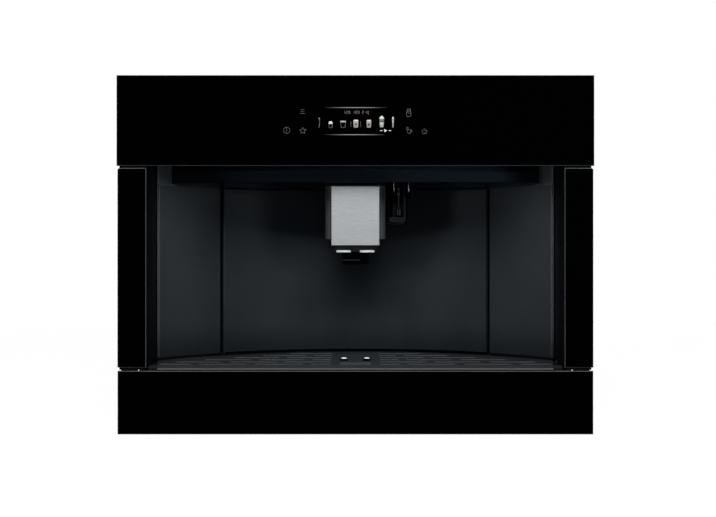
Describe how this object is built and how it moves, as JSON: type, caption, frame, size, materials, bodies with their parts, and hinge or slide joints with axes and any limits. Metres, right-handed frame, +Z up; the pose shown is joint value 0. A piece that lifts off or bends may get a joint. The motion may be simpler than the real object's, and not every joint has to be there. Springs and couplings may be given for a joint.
{
  "type": "built-in coffee machine",
  "caption": "Built-in coffee machine with black glass front, curved niche, sliding spout on a hinged niche door, drip drawer, and a body on pull-out runners.",
  "frame": {"origin": "middle of the bounding box, at the height of the cradle's underside", "axes": "+X to the right seen from the front, +Y into the cabinet, +Z up"},
  "size_m": [0.5964, 0.475, 0.4493],
  "materials": {
    "black_glass": "opaque black back-printed glass, polished",
    "dark_steel": "dark satin coated steel",
    "steel": "horizontally brushed",
    "zinc_sheet": "galvanised sheet",
    "black_plastic": "fine-grained black",
    "gloss_black": "gloss black",
    "grey_plastic": "grey moulded",
    "chrome": "polished",
    "clear_plastic": "clear moulded",
    "light_lens": "milky light guide",
    "display_glass": "dark display",
    "white_plastic": "white moulded",
    "burr_steel": "hardened, ground",
    "aluminium": "cast, satin",
    "board_green": "circuit board",
    "foam_red": "moulded red float"
  },
  "bodies": {
    "cradle": {"cradle": "zinc_sheet", "runner_outer": "zinc_sheet"},
    "runner_middle": {"runner_middle": "zinc_sheet"},
    "machine": {"control_panel_glass": "black_glass", "control_housing": "black_plastic", "display_module": "display_glass", "side_panel_left": "black_glass", "side_panel_right": "black_glass", "front_frame": "dark_steel", "jambs": "gloss_black", "niche_wing_left": "dark_steel", "niche_wing_right": "dark_steel", "hood_cover": "gloss_black", "connector_housing": "black_plastic", "steam_nozzle": "chrome", "hinge_pins": "chrome", "chassis_base": "zinc_sheet", "upper_deck": "zinc_sheet", "side_cover_left": "zinc_sheet", "side_cover_right": "zinc_sheet", "top_cover": "zinc_sheet", "rear_cover": "zinc_sheet", "service_bay": "grey_plastic", "grounds_container": "black_plastic", "brew_frame": "black_plastic", "upper_piston": "black_plastic", "brew_motor": "zinc_sheet", "grinder_housing": "grey_plastic", "ring_burr": "burr_steel", "grinder_motor": "zinc_sheet", "bean_hopper": "clear_plastic", "powder_chute": "black_plastic", "tank_dock": "black_plastic", "pump": "black_plastic", "boiler": "aluminium", "power_board": "board_green", "power_inlet": "black_plastic", "runner_inner": "zinc_sheet", "casing_screws": "steel"},
    "service_door": {"service_door": "dark_steel", "spout_column": "black_plastic"},
    "coffee_spout": {"spout_body": "black_plastic", "spout_front_plate": "steel", "spout_nozzle_block": "gloss_black", "spout_lenses": "light_lens"},
    "drip_drawer": {"drawer_panel_glass": "black_glass", "drawer_panel_carrier": "grey_plastic", "drip_tray": "black_plastic", "drip_grate": "dark_steel", "grate_studs": "chrome"},
    "level_float": {"level_float": "foam_red"},
    "water_tank": {"water_tank": "clear_plastic", "tank_lid": "black_plastic"},
    "bean_lid": {"bean_lid": "black_plastic"},
    "powder_lid": {"powder_lid": "black_plastic"},
    "grind_knob": {"grind_knob": "black_plastic"},
    "main_switch": {"main_switch": "black_plastic"},
    "cone_burr": {"cone_burr": "burr_steel"},
    "brew_chamber": {"brew_chamber": "white_plastic"},
    "lead_screw": {"lead_screw": "steel"}
  },
  "joints": [
    {"name": "machine_slide", "type": "slide", "parent": "cradle", "child": "machine", "axis": [0, -1, 0], "range_m": [0, 0.25]},
    {"name": "runner_slide", "type": "slide", "parent": "cradle", "child": "runner_middle", "axis": [0, -1, 0], "range_m": [0, 0.125]},
    {"name": "door_swing", "type": "hinge", "parent": "machine", "child": "service_door", "pos_m": [-0.18199, -0.10996, 0.2], "axis": [0, 0, -1], "range_deg": [0, 90]},
    {"name": "spout_height", "type": "slide", "parent": "service_door", "child": "coffee_spout", "axis": [0, 0, -1], "range_m": [0, 0.05]},
    {"name": "drawer_slide", "type": "slide", "parent": "machine", "child": "drip_drawer", "axis": [0, -1, 0], "range_m": [0, 0.17]},
    {"name": "float_rise", "type": "slide", "parent": "drip_drawer", "child": "level_float", "axis": [0, 0, 1], "range_m": [0, 0.007]},
    {"name": "tank_slide", "type": "slide", "parent": "machine", "child": "water_tank", "axis": [1, 0, 0], "range_m": [0, 0.1]},
    {"name": "bean_lid_hinge", "type": "hinge", "parent": "machine", "child": "bean_lid", "pos_m": [0, 0.2035, 0.4481], "axis": [-1, 0, 0], "range_deg": [0, 80]},
    {"name": "powder_lid_hinge", "type": "hinge", "parent": "machine", "child": "powder_lid", "pos_m": [-0.15, 0.08345, 0.4481], "axis": [-1, 0, 0], "range_deg": [0, 100]},
    {"name": "grind_setting", "type": "hinge", "parent": "machine", "child": "grind_knob", "pos_m": [0.15, 0.16922, 0.44], "axis": [0, 0, 1], "range_deg": [-120, 120]},
    {"name": "switch_rock", "type": "hinge", "parent": "machine", "child": "main_switch", "pos_m": [-0.186, 0.231, 0.116], "axis": [1, 0, 0], "range_deg": [-6, 6]},
    {"name": "burr_turn", "type": "hinge", "parent": "machine", "child": "cone_burr", "pos_m": [0.04, 0.16922, 0.32], "axis": [0, 0, 1], "continuous": true},
    {"name": "brew_lift", "type": "slide", "parent": "machine", "child": "brew_chamber", "axis": [0, 0, 1], "range_m": [0, 0.034]},
    {"name": "screw_turn", "type": "hinge", "parent": "machine", "child": "lead_screw", "pos_m": [0.04, 0.02445, 0.25], "axis": [0, 0, 1], "range_deg": [0, 1030]}
  ],
  "couplings": [
    {"joint": "runner_slide", "follows": "machine_slide", "ratio": 0.5},
    {"joint": "screw_turn", "follows": "brew_lift", "rad_per_m": 523.6}
  ]
}
